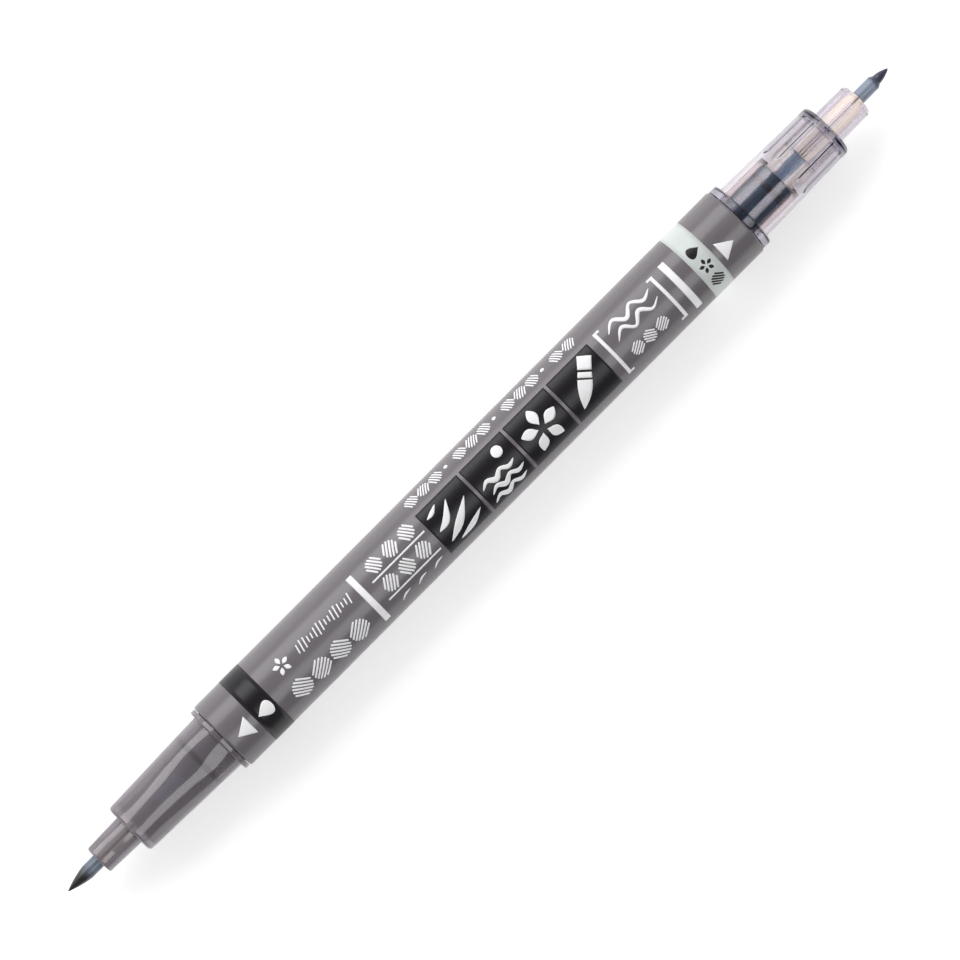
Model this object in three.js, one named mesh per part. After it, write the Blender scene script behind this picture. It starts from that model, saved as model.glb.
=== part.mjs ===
// Double-ended calligraphy marker, uncapped: one barrel with two separate ink lines, each ending in a
// flexible brush nib. The end towards -X is the black-ink end in smoke-grey plastic, and the end towards
// +X is the grey-ink end in clear plastic.
//
// Units are millimetres. The pen's axis is X, its origin is at the middle of the barrel, and +Z is up.
// Every piece is turned about the axis. An end is drawn once in a frame of its own, where "out" is the
// distance from the barrel's end face, positive away from the barrel, and then placed at each side.

import * as THREE from "three";

// ---------------------------------------------------------------- driving dimensions

// Facets round the axis, and how many steps a rounded corner takes.
const FACETS = 32;
const CORNER_STEPS = 4;

// Room between pieces that fit together: around the axis, and along it where faces meet.
const FIT_AROUND = 0.05;
const FIT_ALONG = 0.1;

const barrel = {
  length: 94.4,
  radius: 5.25,
  wall: 0.9,
  edgeRounding: 0.35,
  mouthChamfer: 0.25,
};

const divider = {
  webThickness: 1.6,
  cupDepth: 3.2,
  edgeRounding: 0.3,
};

// Sizes that both writing ends share.
const section = {
  flangeStep: 0.18, // how far the flange's rim lies inside the barrel's surface
  flangeRounding: 0.2,
  capLedge: 0.79, // width of the ring that a cap's rim lands on
  gripReach: 16.95, // from the barrel's end to the shoulder where the nose starts
  gripRounding: 0.5,
  noseLength: 5.6,
  frontWall: 1.0, // the wall between the grip's hollow and the open air
  sideWall: 0.5, // the grip's wall where it is thinnest, at the front
  hollowRounding: 0.35,
  spigotLength: 9.0,
  spigotWall: 0.78,
  spigotLeadIn: 0.35,
  socketLength: 4.2, // the nib's socket inside the hollow
  socketWall: 1.24,
  socketLeadIn: 0.15,
};

const nib = {
  radius: 1.0,
  reach: 5.6, // how far the nib stands out of the nose
  flexAngle: 20, // degrees either way, at full pressure
};

const wick = {
  radius: 0.85,
  plunge: 5.0, // how far it runs into the ink fibre
  pointLength: 0.8,
  pointRadius: 0.3,
};

const wickHolder = {
  neckLength: 3.6,
  neckWall: 1.4,
  flangeThickness: 0.5,
};

const collar = {
  wall: 0.6,
  shoulderRounding: 0.1,
};

const film = { thickness: 0.1, overhang: 0.15 };

// What differs between the two ends. A brush point's waist is where its taper starts: its place is
// measured from the nose's mouth, and its radius is a share of the nib's.
const ends = [
  {
    name: "black",
    side: -1,
    flangeThickness: 0.8,
    gripDraft: 0.48, // how much narrower the grip's radius is at the front than at the flange
    noseWall: 1.21,
    noseDraft: 0.16,
    noseRounding: 0.3,
    taperStart: 2.0,
    waist: { out: 2.05, share: 1.0 },
    fullness: 0.5, // 0 is a straight cone, and 1 a full round ogive
    pointRadius: 0.06,
    plastic: { color: 0x77757a, roughness: 0.12, opacity: 0.72 },
  },
  {
    name: "grey",
    side: 1,
    flangeThickness: 1.3,
    gripDraft: 0.31,
    noseWall: 1.44,
    noseDraft: 0.04,
    noseRounding: 0.9,
    taperStart: 2.9,
    waist: { out: 3.5, share: 0.7 },
    fullness: 0.75,
    pointRadius: 0.12,
    plastic: { color: 0xd9d2d6, roughness: 0.05, opacity: 0.35 },
  },
];

// ---------------------------------------------------------------- sizes that follow from them

const barrelBore = barrel.radius - barrel.wall;
const spigotRadius = barrelBore - FIT_AROUND;
const hollowRadius = spigotRadius - section.spigotWall;
const flangeRadius = barrel.radius - section.flangeStep;
const gripRadius = flangeRadius - section.capLedge;

const nibBore = nib.radius + FIT_AROUND;
const socketRadius = nibBore + section.socketWall;
const wickBore = wick.radius + FIT_AROUND;
const neckRadius = wickBore + wickHolder.neckWall;
const collarRadius = hollowRadius - FIT_AROUND;
const collarBore = collarRadius - collar.wall;
const filmRadius = collarBore - FIT_AROUND;
const fibreRadius = filmRadius - film.thickness - FIT_AROUND;

// Places along an end, as distances out from the barrel's end face.
const mouthOut = section.gripReach + section.noseLength;
const hollowEndOut = section.gripReach - section.frontWall;
const socketOut = hollowEndOut - section.socketLength;
const neckOut = socketOut - FIT_ALONG;
const holderOut = neckOut - wickHolder.neckLength;
const holderBackOut = holderOut - wickHolder.flangeThickness;
const fibreOut = holderBackOut - FIT_ALONG;
const wickBackOut = fibreOut - wick.plunge;
const nibBackOut = socketOut + FIT_ALONG;
const spigotBackOut = -section.spigotLength;
const fibreBackOut = -(barrel.length / 2 - divider.webThickness / 2 - FIT_ALONG);

// A bent nib's base swings towards the nose, so it starts this far outside the mouth.
const flexGap = nib.radius * Math.sin(THREE.MathUtils.degToRad(nib.flexAngle)) + FIT_AROUND;

// ---------------------------------------------------------------- turning outlines into solids

// The points of an outline of [radius, out, rounding] corners. A corner with a rounding becomes an arc
// that touches both of its sides.
function outlinePoints(corners, closed) {
  const points = [];
  const last = corners.length - 1;
  corners.forEach(([radius, out, rounding = 0], i) => {
    const corner = new THREE.Vector2(radius, out);
    if (!rounding || (!closed && (i === 0 || i === last))) {
      points.push(corner);
      return;
    }
    const toward = (j) => new THREE.Vector2(corners[j][0], corners[j][1]).sub(corner);
    const before = toward(i === 0 ? last : i - 1);
    const after = toward(i === last ? 0 : i + 1);
    const half = Math.abs(before.angleTo(after)) / 2;
    const reach = Math.min(rounding / Math.tan(half), 0.49 * before.length(), 0.49 * after.length());
    const arcRadius = reach * Math.tan(half);
    const start = corner.clone().addScaledVector(before.normalize(), reach);
    const end = corner.clone().addScaledVector(after.normalize(), reach);
    const inward = before.clone().add(after).normalize();
    const centre = corner.clone().addScaledVector(inward, arcRadius / Math.sin(half));
    const from = start.clone().sub(centre).angle();
    const sweep = end.clone().sub(centre).angle() - from;
    const turn = Math.atan2(Math.sin(sweep), Math.cos(sweep));
    for (let step = 0; step <= CORNER_STEPS; step += 1) {
      const angle = from + (turn * step) / CORNER_STEPS;
      points.push(
        new THREE.Vector2(Math.cos(angle), Math.sin(angle)).multiplyScalar(arcRadius).add(centre),
      );
    }
  });
  return points;
}

// A solid turned about the axis. The outline runs counter-clockwise with the radius to the right and
// "out" upwards, and half a facet of turn leaves a facet, and not an edge, on the underside.
function turned(points) {
  return new THREE.LatheGeometry(points, FACETS, Math.PI / FACETS);
}

// A piece with a hole right through it.
function turnedRing(corners) {
  const points = outlinePoints(corners, true);
  return turned([...points, points[0].clone()]);
}

// A piece that reaches the axis, from its first corner to its last.
function turnedRod(corners) {
  return turned(outlinePoints(corners, false));
}

function piece(name, geometry, { color, roughness, metalness = 0, opacity = 1 }) {
  const material = new THREE.MeshStandardMaterial({
    color,
    roughness,
    metalness,
    opacity,
    transparent: opacity < 1,
  });
  const mesh = new THREE.Mesh(geometry, material);
  mesh.name = name;
  return mesh;
}

// ---------------------------------------------------------------- barrel and divider

const greyPlastic = { color: 0x8b8789, roughness: 0.35 };
const naturalPlastic = { color: 0xe6e2da, roughness: 0.5 };

function makeBarrel() {
  const half = barrel.length / 2;
  return piece(
    "barrel",
    turnedRing([
      [barrelBore + barrel.mouthChamfer, -half],
      [barrel.radius, -half, barrel.edgeRounding],
      [barrel.radius, half, barrel.edgeRounding],
      [barrelBore + barrel.mouthChamfer, half],
      [barrelBore, half - barrel.mouthChamfer],
      [barrelBore, -half + barrel.mouthChamfer],
    ]),
    greyPlastic,
  );
}

// A plug pressed into the middle of the barrel. A cup on each face holds the tail of one ink fibre.
function makeDivider() {
  const web = divider.webThickness / 2;
  const rim = web + divider.cupDepth;
  return piece(
    "divider_plug",
    turnedRod([
      [0, -web],
      [collarBore, -web],
      [collarBore, -rim],
      [spigotRadius, -rim, divider.edgeRounding],
      [spigotRadius, rim, divider.edgeRounding],
      [collarBore, rim],
      [collarBore, web],
      [0, web],
    ]),
    naturalPlastic,
  );
}

// ---------------------------------------------------------------- the pieces of a writing end

// The moulding that is held while writing: spigot, flange, grip and nose in one, with a long socket
// for the nib inside.
function makeSection(end) {
  const gripFront = gripRadius - end.gripDraft;
  const noseBack = nibBore + end.noseWall;
  const noseFront = noseBack - end.noseDraft;
  const hollowFront = Math.min(gripFront - section.sideWall, hollowRadius);
  return piece(
    `${end.name}_section`,
    turnedRing([
      [hollowRadius, spigotBackOut],
      [spigotRadius, spigotBackOut, section.spigotLeadIn],
      [spigotRadius, FIT_ALONG],
      [flangeRadius, FIT_ALONG],
      [flangeRadius, end.flangeThickness, section.flangeRounding],
      [gripRadius, end.flangeThickness],
      [gripFront, section.gripReach, section.gripRounding],
      [noseBack, section.gripReach],
      [noseFront, mouthOut, end.noseRounding],
      [nibBore, mouthOut],
      [nibBore, socketOut + section.socketLeadIn],
      [nibBore + section.socketLeadIn, socketOut],
      [socketRadius, socketOut],
      [socketRadius, hollowEndOut],
      [hollowFront, hollowEndOut, section.hollowRounding],
      [hollowRadius, holderOut],
    ]),
    end.plastic,
  );
}

// The clear sleeve that centres the wick. Its flange stops the ink fibre, and its neck meets the
// nib's socket.
function makeWickHolder(end) {
  return piece(
    `${end.name}_wick_holder`,
    turnedRing([
      [wickBore, holderBackOut],
      [collarRadius, holderBackOut],
      [collarRadius, holderOut],
      [neckRadius, holderOut],
      [neckRadius, neckOut],
      [wickBore, neckOut],
    ]),
    { color: 0xdedad6, roughness: 0.08, opacity: 0.4 },
  );
}

// A straight ring in the spigot that keeps the front of the ink fibre on the axis.
function makeCollar(end) {
  return piece(
    `${end.name}_fibre_collar`,
    turnedRing([
      [collarBore, spigotBackOut],
      [collarRadius, spigotBackOut, collar.shoulderRounding],
      [collarRadius, fibreOut, collar.shoulderRounding],
      [collarBore, fibreOut],
    ]),
    { color: 0xd8cfd2, roughness: 0.08, opacity: 0.4 },
  );
}

// The rod that draws ink out of the fibre to the back of the nib.
function makeWick(end) {
  return piece(
    `${end.name}_feed_wick`,
    turnedRod([
      [0, wickBackOut],
      [wick.pointRadius, wickBackOut],
      [wick.radius, wickBackOut + wick.pointLength],
      [wick.radius, socketOut - FIT_ALONG],
      [0, socketOut - FIT_ALONG],
    ]),
    { color: 0x39455c, roughness: 0.8 },
  );
}

// The bundle of fibres that stores the ink, with the hole that the wick makes in it.
function makeFibre(end) {
  return piece(
    `${end.name}_ink_fibre`,
    turnedRod([
      [0, fibreBackOut],
      [fibreRadius, fibreBackOut],
      [fibreRadius, fibreOut],
      [wickBore, fibreOut],
      [wickBore, wickBackOut - FIT_ALONG],
      [0, wickBackOut - FIT_ALONG],
    ]),
    { color: 0x2b3344, roughness: 0.95 },
  );
}

// The plastic film that the fibre bundle is wrapped in.
function makeFilm(end) {
  const inner = filmRadius - film.thickness;
  return piece(
    `${end.name}_fibre_film`,
    turnedRing([
      [inner, fibreBackOut + film.overhang],
      [filmRadius, fibreBackOut + film.overhang],
      [filmRadius, fibreOut - film.overhang],
      [inner, fibreOut - film.overhang],
    ]),
    { color: 0x9aa0ac, roughness: 0.2, opacity: 0.5 },
  );
}

// The part of the nib that the socket and nose hold.
function makeNibStem(end) {
  return piece(
    `${end.name}_nib_stem`,
    turnedRod([
      [0, nibBackOut],
      [nib.radius, nibBackOut, section.socketLeadIn],
      [nib.radius, mouthOut],
      [0, mouthOut],
    ]),
    { color: 0xd6d0c8, roughness: 0.45 },
  );
}

// The brush point: a short straight stretch, then a waist, then an ogive down to a fine round tip.
function makeBrushTip(end) {
  const tipOut = mouthOut + nib.reach;
  const waistOut = mouthOut + end.waist.out;
  const waistRadius = nib.radius * end.waist.share;
  const ogive = new THREE.QuadraticBezierCurve(
    new THREE.Vector2(waistRadius, waistOut),
    new THREE.Vector2(
      THREE.MathUtils.lerp((waistRadius + end.pointRadius) / 2, waistRadius, end.fullness),
      THREE.MathUtils.lerp(waistOut, tipOut, 0.5),
    ),
    new THREE.Vector2(end.pointRadius, tipOut - end.pointRadius),
  );
  const OGIVE_STEPS = 7;
  return piece(
    `${end.name}_brush_tip`,
    turned([
      new THREE.Vector2(0, mouthOut + flexGap),
      new THREE.Vector2(nib.radius, mouthOut + flexGap),
      new THREE.Vector2(nib.radius, mouthOut + end.taperStart),
      ...ogive.getPoints(OGIVE_STEPS),
      new THREE.Vector2(0, tipOut),
    ]),
    { color: 0x15151a, roughness: 0.4 },
  );
}

// One writing end, drawn along +Y from the barrel's end face and laid along the pen's axis.
function makeEnd(end) {
  const group = new THREE.Group();
  group.rotation.z = -end.side * (Math.PI / 2);
  group.position.x = end.side * (barrel.length / 2);
  group.add(
    makeSection(end),
    makeWickHolder(end),
    makeCollar(end),
    makeWick(end),
    makeFibre(end),
    makeFilm(end),
    makeNibStem(end),
    makeBrushTip(end),
  );
  return group;
}

// ---------------------------------------------------------------- assembly

const middle = new THREE.Group();
middle.rotation.z = -Math.PI / 2;
middle.add(makeBarrel(), makeDivider());

const marker = new THREE.Group();
marker.add(middle, ...ends.map(makeEnd));

export default marker;
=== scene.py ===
"""Double-ended calligraphy marker with its caps off: the looks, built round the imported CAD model.

Run as a script, it builds the marker, the studio and the camera. Lengths are in metres, the pen's axis
is X, and +Z is up. The panel in the 3D view's sidebar lists the same steps, and the sizes and colours
that they use.
"""

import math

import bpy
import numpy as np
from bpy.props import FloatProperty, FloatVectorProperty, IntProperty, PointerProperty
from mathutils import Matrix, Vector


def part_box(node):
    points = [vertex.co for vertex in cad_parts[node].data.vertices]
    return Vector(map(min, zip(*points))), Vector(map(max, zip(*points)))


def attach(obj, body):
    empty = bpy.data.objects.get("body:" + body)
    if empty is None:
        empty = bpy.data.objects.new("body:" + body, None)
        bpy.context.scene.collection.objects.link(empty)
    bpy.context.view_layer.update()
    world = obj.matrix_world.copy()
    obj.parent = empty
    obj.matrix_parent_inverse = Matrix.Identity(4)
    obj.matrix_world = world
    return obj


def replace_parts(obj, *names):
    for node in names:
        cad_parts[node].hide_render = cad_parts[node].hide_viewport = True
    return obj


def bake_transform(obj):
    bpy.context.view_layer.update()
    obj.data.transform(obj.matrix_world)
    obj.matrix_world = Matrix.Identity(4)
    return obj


bl_info = {
    "name": "Double-ended calligraphy marker",
    "version": (1, 0, 0),
    "blender": (4, 5, 0),
    "location": "3D View > Sidebar > Marker",
    "description": "Builds a two-ended brush marker round the frame of its CAD model",
    "category": "Add Mesh",
}

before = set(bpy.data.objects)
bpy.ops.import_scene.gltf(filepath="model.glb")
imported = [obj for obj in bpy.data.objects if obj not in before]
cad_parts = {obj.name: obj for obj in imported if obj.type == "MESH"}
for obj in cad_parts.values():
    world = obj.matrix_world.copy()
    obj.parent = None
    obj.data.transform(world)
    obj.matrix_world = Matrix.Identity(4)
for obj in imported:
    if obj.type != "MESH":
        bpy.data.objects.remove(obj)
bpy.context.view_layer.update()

MM = 0.001
ENDS = {"black": -1, "grey": 1}  # which way along X each writing end points
INK_SLOTS = 4  # round a nib's stem


# ------------------------------------------------------------------ sizes and colours a user would change


def linear(hex_colour):
    """The linear red, green and blue of an sRGB hex colour such as "#8b8789"."""
    srgb = np.array([int(hex_colour[i : i + 2], 16) for i in (1, 3, 5)]) / 255
    return tuple(np.where(srgb <= 0.04045, srgb / 12.92, ((srgb + 0.055) / 1.055) ** 2.4))


def colour(name, description, hex_colour):
    """A colour that a user can set."""
    return FloatVectorProperty(
        name=name, description=description, default=linear(hex_colour), subtype="COLOR", min=0, max=1
    )


def length(name, description, millimetres):
    """A small length that a user can set."""
    return FloatProperty(
        name=name, description=description, default=millimetres * MM, unit="LENGTH", precision=5, min=0
    )


def number(name, description, value, **kind):
    """A plain number that a user can set, such as a strength. kind is its unit or subtype."""
    return FloatProperty(name=name, description=description, default=value, **kind)


class MARKER_PG_sizes(bpy.types.PropertyGroup):
    """Sizes of the fine detail that the CAD model leaves out."""

    around: IntProperty(
        name="Steps around", description="Steps round each turned piece", default=160, min=24
    )
    moulded_edge: length("Moulded edge", "Radius of an edge that the CAD model has sharp", 0.05)
    ink_height: length("Ink height", "How far printed ink stands above the barrel", 0.012)
    ink_layer: length("Ink layer", "How much higher each further coat of ink lies", 0.006)
    nose_ring: length("Nose ring", "Distance of the fine ring on the smoky nose from its mouth", 2.2)
    fibre_ridge: length("Fibre ridge", "Depth of the furrows between the fibres of the ink reservoir", 0.03)
    nib_ridge: length("Nib ridge", "Depth of the fine furrows along a nib", 0.012)
    ink_slot: length("Ink slot", "Depth of the ink slots along a nib's stem", 0.26)


class MARKER_PG_colours(bpy.types.PropertyGroup):
    """Colours of the mouldings, inks and nibs."""

    barrel: colour("Barrel", "Grey of the barrel's plastic", "#6f6a6f")
    smoke: colour("Smoke", "Tint of the smoke-grey section", "#978f97")
    clear: colour("Clear", "Faint tint of the clear section", "#f1eaec")
    # Painted shade: these three darker tints stand for the clear section seen on edge, where the plastic
    # lies across the view.
    clear_flange_shade: colour("Clear flange", "The clear section's flange, seen on edge", "#d4d0d7")
    clear_front_shade: colour("Clear front", "The clear section where its hollow is empty", "#ece8eb")
    clear_rim_shade: colour("Clear rim", "The clear section's front wall, seen on edge", "#b2b0bd")
    insert: colour("Inserts", "Tint of the clear inner mouldings", "#f7f4f1")
    divider: colour("Divider", "Undyed plastic of the divider plug", "#e6e2da")
    white_ink: colour("White ink", "Printed white", "#fbfafc")
    black_ink: colour("Black ink", "Printed black", "#151118")
    pale_band: colour("Pale band", "Printed band at the grey-ink end", "#d1d7d4")
    reservoir: colour("Reservoir", "Fibres soaked in ink", "#284a70")
    film: colour("Film", "Film round the fibres", "#4276a8")
    wick: colour("Wick", "Feed rod soaked in ink", "#7f98bc")
    nib_stock: colour("Nib stock", "Nib inside the nose", "#fff8e6")
    black_nib_base: colour("Black nib's base", "Black-ink nib where it leaves the nose", "#5a6778")
    black_nib_point: colour("Black nib's point", "Black-ink nib towards its point", "#120f12")
    grey_nib_base: colour("Grey nib's base", "Grey-ink nib where it leaves the nose", "#7d879b")
    grey_nib_point: colour("Grey nib's point", "Grey-ink nib towards its point", "#31314a")


class MARKER_PG_studio(bpy.types.PropertyGroup):
    """Camera and lights."""

    camera_distance: number("Camera distance", "Its height over the pen's axis", 0.84, unit="LENGTH")
    camera_foot: number("Camera foot", "The place along the pen it stands over", -0.043, unit="LENGTH")
    camera_aim: FloatVectorProperty(
        name="Camera aim",
        description="The place, along and across the pen, that the camera looks at",
        size=2,
        default=(-0.00016, -0.0002),
        unit="LENGTH",
        precision=5,
    )
    pen_angle: number("Pen angle", "Its slope in the camera's view", math.radians(45.12), subtype="ANGLE")
    scale: number("Scale", "Widths of the view per metre at the pen", 8.049)
    floor: colour("Floor", "Matt white sweep", "#f6f6f6")
    key: number("Key light", "Power of the low, broad softbox", 1.55, unit="POWER")
    fill: number("Fill light", "Power of the high softbox", 0.85, unit="POWER")
    bright_side: number("Bright side", "The room's light from +Y", 0.85)
    dark_side: number("Dark side", "The room's light overhead and from -Y", 0.2)
    pale_ends: number("Pale ends", "Added light from beyond the pen's two points", 0.45)
    floor_glow: number("Floor glow", "Strength of the light through the floor", 0.42)


class MARKER_PG_settings(bpy.types.PropertyGroup):
    """Everything the marker's operators read."""

    sizes: PointerProperty(type=MARKER_PG_sizes)
    colours: PointerProperty(type=MARKER_PG_colours)
    studio: PointerProperty(type=MARKER_PG_studio)


# ------------------------------------------------------------------ outlines of the turned CAD nodes

CURVE_TURN = math.radians(35)  # an outline that turns by less at a point is curved there
LONG_SIDE = 2.5  # a side this many times its neighbour's length is a straight one
CORNER_SHARE = 0.3  # the most of a side that a rounded corner takes
HOLD_SHARE = 0.25  # the most of a side between a corner and the point that keeps the side flat
STRAIGHT = 0.9999  # the cosine of a turn too small to curve a side
TINY = 1e-12  # keeps a way that turns right back from being divided by nothing
CORNER_STEPS = 5
CURVE_STEPS = 4
SAME_PLACE = 7  # decimal places of a metre within which two points are one
ON_AXIS = 1e-3 * MM
IN_PLANE = math.cos(math.radians(1))


def unit(vectors):
    """The vectors, each divided by its own length."""
    return vectors / np.linalg.norm(vectors, axis=-1, keepdims=True)


def meridian(node):
    """The outline of a turned CAD node, as (x, radius) points in order, and whether it closes on itself.

    A turned piece is the same in each half-plane through the x axis, so its outline is the chain of edges
    that lie in one of them. The chain runs with the material on its right, so that faces point outwards.
    """
    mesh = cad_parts[node].data
    places = np.empty(len(mesh.vertices) * 3, np.float32)
    mesh.vertices.foreach_get("co", places)
    pairs = np.empty(len(mesh.edges) * 2, np.int32)
    mesh.edges.foreach_get("vertices", pairs)
    places = np.round(places.reshape(-1, 3).astype(float), SAME_PLACE)
    places, copies = np.unique(places, axis=0, return_inverse=True)
    pairs = copies.ravel()[pairs].reshape(-1, 2)

    radius = np.hypot(places[:, 1], places[:, 2])
    angle = np.arctan2(places[:, 2], places[:, 1])
    turn = angle - angle[radius.argmax()]
    on_axis = radius < ON_AXIS
    in_plane = on_axis | (np.cos(turn) > IN_PLANE)
    pairs = pairs[in_plane[pairs].all(1)]

    neighbours = {}
    for a, b in pairs.tolist():
        neighbours.setdefault(a, set()).add(b)
        neighbours.setdefault(b, set()).add(a)
    loose = sorted((i for i in neighbours if len(neighbours[i]) == 1), key=lambda i: places[i, 0])
    chain = [loose[0] if loose else min(neighbours, key=lambda i: places[i, 0])]
    while True:
        onward = [i for i in neighbours[chain[-1]] if i not in chain]
        if not onward:
            break
        chain.append(onward[0])
    outline = np.column_stack([places[chain, 0], np.where(on_axis, 0, radius)[chain]])
    following = np.roll(outline, -1, axis=0)
    area = (outline[:, 0] * following[:, 1] - following[:, 0] * outline[:, 1]).sum()
    return (outline[::-1] if area > 0 else outline), not loose


def softened(outline, closed, edge):
    """The outline as a moulding has it: curved where the CAD model has short facets, and no edge sharp.

    Where the outline turns a little at a point, it's part of a curve, and a cubic through the point runs
    along the tangent there. Where it turns more, the corner becomes a small quadratic arc. Each straight
    side keeps a point near both ends, so that smooth shading stays in the corners.
    """
    before = outline - np.roll(outline, 1, axis=0)
    after = np.roll(before, -1, axis=0)
    size_before, size_after = np.linalg.norm(before, axis=1), np.linalg.norm(after, axis=1)
    way_in, way_out = unit(before), unit(after)
    bend = np.arccos(np.clip((way_in * way_out).sum(1), -1, 1))
    sharp = bend > CURVE_TURN
    middle = unit(way_in + way_out + TINY)
    straight_in = (size_before > LONG_SIDE * size_after)[:, None]
    straight_out = (size_after > LONG_SIDE * size_before)[:, None]
    tangent = np.where(straight_in, way_in, np.where(straight_out, way_out, middle))
    if not closed:
        sharp[[0, -1]] = False
        tangent[0], tangent[-1] = way_out[0], way_in[-1]
    room = CORNER_SHARE * np.minimum(size_before, size_after)
    cut = np.where(sharp, np.minimum(edge, room), 0)[:, None]
    entry, leave = outline - way_in * cut, outline + way_out * cut

    t = np.linspace(0, 1, CORNER_STEPS)[:, None]
    s = np.linspace(0, 1, CURVE_STEPS + 1)[1:-1, None]
    points = []
    last = len(outline) if closed else len(outline) - 1
    for i in range(len(outline)):
        if sharp[i]:
            points.extend((1 - t) ** 2 * entry[i] + 2 * t * (1 - t) * outline[i] + t**2 * leave[i])
        else:
            points.append(outline[i])
        if i == last:
            break
        j = (i + 1) % len(outline)
        side = entry[j] - leave[i]
        span = np.linalg.norm(side)
        along = side / span
        start = along if sharp[i] else tangent[i]
        end = along if sharp[j] else tangent[j]
        if start @ along > STRAIGHT and end @ along > STRAIGHT:
            hold = min(edge, HOLD_SHARE * span)
            points.extend([leave[i] + along * hold, entry[j] - along * hold])
        else:
            points.extend(
                (2 * s**3 - 3 * s**2 + 1) * leave[i]
                + (s**3 - 2 * s**2 + s) * start * span
                + (3 * s**2 - 2 * s**3) * entry[j]
                + (s**3 - s**2) * end * span
            )
    return np.array(points)


def divided(outline, step):
    """The outline with its long sides cut into equal steps no longer than step."""
    pieces = [outline[:1]]
    for a, b in zip(outline[:-1], outline[1:]):
        count = max(1, math.ceil(np.linalg.norm(b - a) / step))
        share = np.arange(1, count + 1)[:, None] / count
        pieces.append(a + (b - a) * share)
    return np.concatenate(pieces)


def grooved(outline, x, width, depth):
    """The outline with a V-shaped groove round its outer wall at x."""
    for i, (a, b) in enumerate(zip(outline[:-1], outline[1:])):
        if a[0] < x - width < x + width < b[0]:
            wall = np.interp(x, [a[0], b[0]], [a[1], b[1]])
            cut = [(x - width / 2, wall), (x, wall - depth), (x + width / 2, wall)]
            return np.insert(outline, i + 1, cut, axis=0)
    raise ValueError(f"no straight outer wall at x = {x:.4f}")


# ------------------------------------------------------------------ meshes


def add_mesh(name, points, faces, face_uv, material):
    """A smooth object at the origin. face_uv has one (u, v) for each corner of each face, in order."""
    mesh = bpy.data.meshes.new(name)
    mesh.from_pydata(points.reshape(-1, 3), [], [face for group in faces for face in group.tolist()])
    layer = mesh.uv_layers.new(name="surface")
    layer.data.foreach_set("uv", np.concatenate([uv.reshape(-1) for uv in face_uv]).astype(np.float32))
    mesh.shade_smooth()
    mesh.materials.append(material)
    piece = bpy.data.objects.new(name, mesh)
    bpy.context.scene.collection.objects.link(piece)
    return piece


def turned_piece(name, outline, closed, material, around, shaped=None):
    """Carries an outline round the x axis.

    The point (x, r) of the outline goes to (x, r cos a, r sin a) at each angle a. shaped(x, r, a) may give
    another radius, for ridges and slots. u runs once round the axis, and v along it from 0 to 1.
    """
    rows = len(outline)
    angle = np.linspace(0, 2 * np.pi, around, endpoint=False)
    x = np.repeat(outline[:, :1], around, axis=1)
    radius = np.repeat(outline[:, 1:], around, axis=1)
    if shaped:
        radius = shaped(x, radius, angle[None, :])
    points = np.stack([x, radius * np.cos(angle), radius * np.sin(angle)], axis=-1)

    i = np.arange(rows if closed else rows - 1)[:, None]
    j = np.arange(around)[None, :]
    corner_rows = np.stack(np.broadcast_arrays(i, i, i + 1, i + 1), axis=-1)
    corner_columns = np.stack(np.broadcast_arrays(j, j + 1, j + 1, j), axis=-1)
    v_of_row = (outline[:, 0] - outline[:, 0].min()) / np.ptp(outline[:, 0])
    uv = np.stack(np.broadcast_arrays(corner_columns / around, v_of_row[corner_rows % rows]), axis=-1)
    index = corner_rows % rows * around + corner_columns % around
    if closed:
        return add_mesh(name, points, [index.reshape(-1, 4)], [uv], material)

    # The first and last rows lie on the axis, so each becomes one point with a fan of triangles.
    index = np.clip(index - around + 1, 0, None)
    pole = (rows - 2) * around + 1
    index = np.where(index >= pole, pole, index)
    points = np.concatenate([points[0, :1], points[1:-1].reshape(-1, 3), points[-1, :1]])
    faces = [index[0][:, [0, 2, 3]], index[1:-1].reshape(-1, 4), index[-1][:, [0, 1, 2]]]
    return add_mesh(name, points, faces, [uv[0][:, [0, 2, 3]], uv[1:-1], uv[-1][:, [0, 1, 2]]], material)


def smooth_node(name, node, material, shaped=None):
    """Replaces a turned CAD node by a piece with the same outline, softened and finer round the axis."""
    sizes = bpy.context.scene.marker.sizes
    outline, closed = meridian(node)
    piece = turned_piece(
        name, softened(outline, closed, sizes.moulded_edge), closed, material, sizes.around, shaped
    )
    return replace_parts(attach(piece, "root"), node)


def reach(node):
    """The largest radius of a turned CAD node."""
    return meridian(node)[0][:, 1].max()


# ------------------------------------------------------------------ materials

NOISE_LOW, NOISE_HIGH = 0.3, 0.7  # most of a noise pattern lies between these
# Painted shade: a soft darker band in the smoky grip's colour, where the wick holder's flange stands behind
# the wall.
HOLDER_SHADE = (-51.5 * MM, 0.15 * MM, 0.6 * MM)  # its x, and how far from there it is full, and gone
HOLDER_SHADE_LEFT = 0.68  # how much of the colour is left in it
# Painted shade: a narrow darker ring round the film, where it is welded to the fibres.
WELD = (52.8 * MM, 0.48 * MM)  # how far out along the pen, and half its width
WELD_PAINTED_SHADE = 0.6
BAND_FADE = 0.1 * MM  # over which one stretch of the clear section turns into the next
SLOT_SHARE = 0.09  # of the distance between two ink slots, from the middle of a slot to its dark edge
SLOT_DIMS = 1.1
STREAKS = (34.0, 1.2, 1.0)  # round a nib, along it, and through it
STREAK_REACH = 0.05  # of the nib's length


def add(tree, kind, inputs=None, **settings):
    """Adds one shader node. settings are the node's own, and an input is a value or a socket to link."""
    node = tree.nodes.new("ShaderNode" + kind)
    for name, value in settings.items():
        setattr(node, name, value)
    for name, value in (inputs or {}).items():
        if isinstance(value, bpy.types.NodeSocket):
            tree.links.new(value, node.inputs[name])
        else:
            node.inputs[name].default_value = value
    return node


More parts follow.
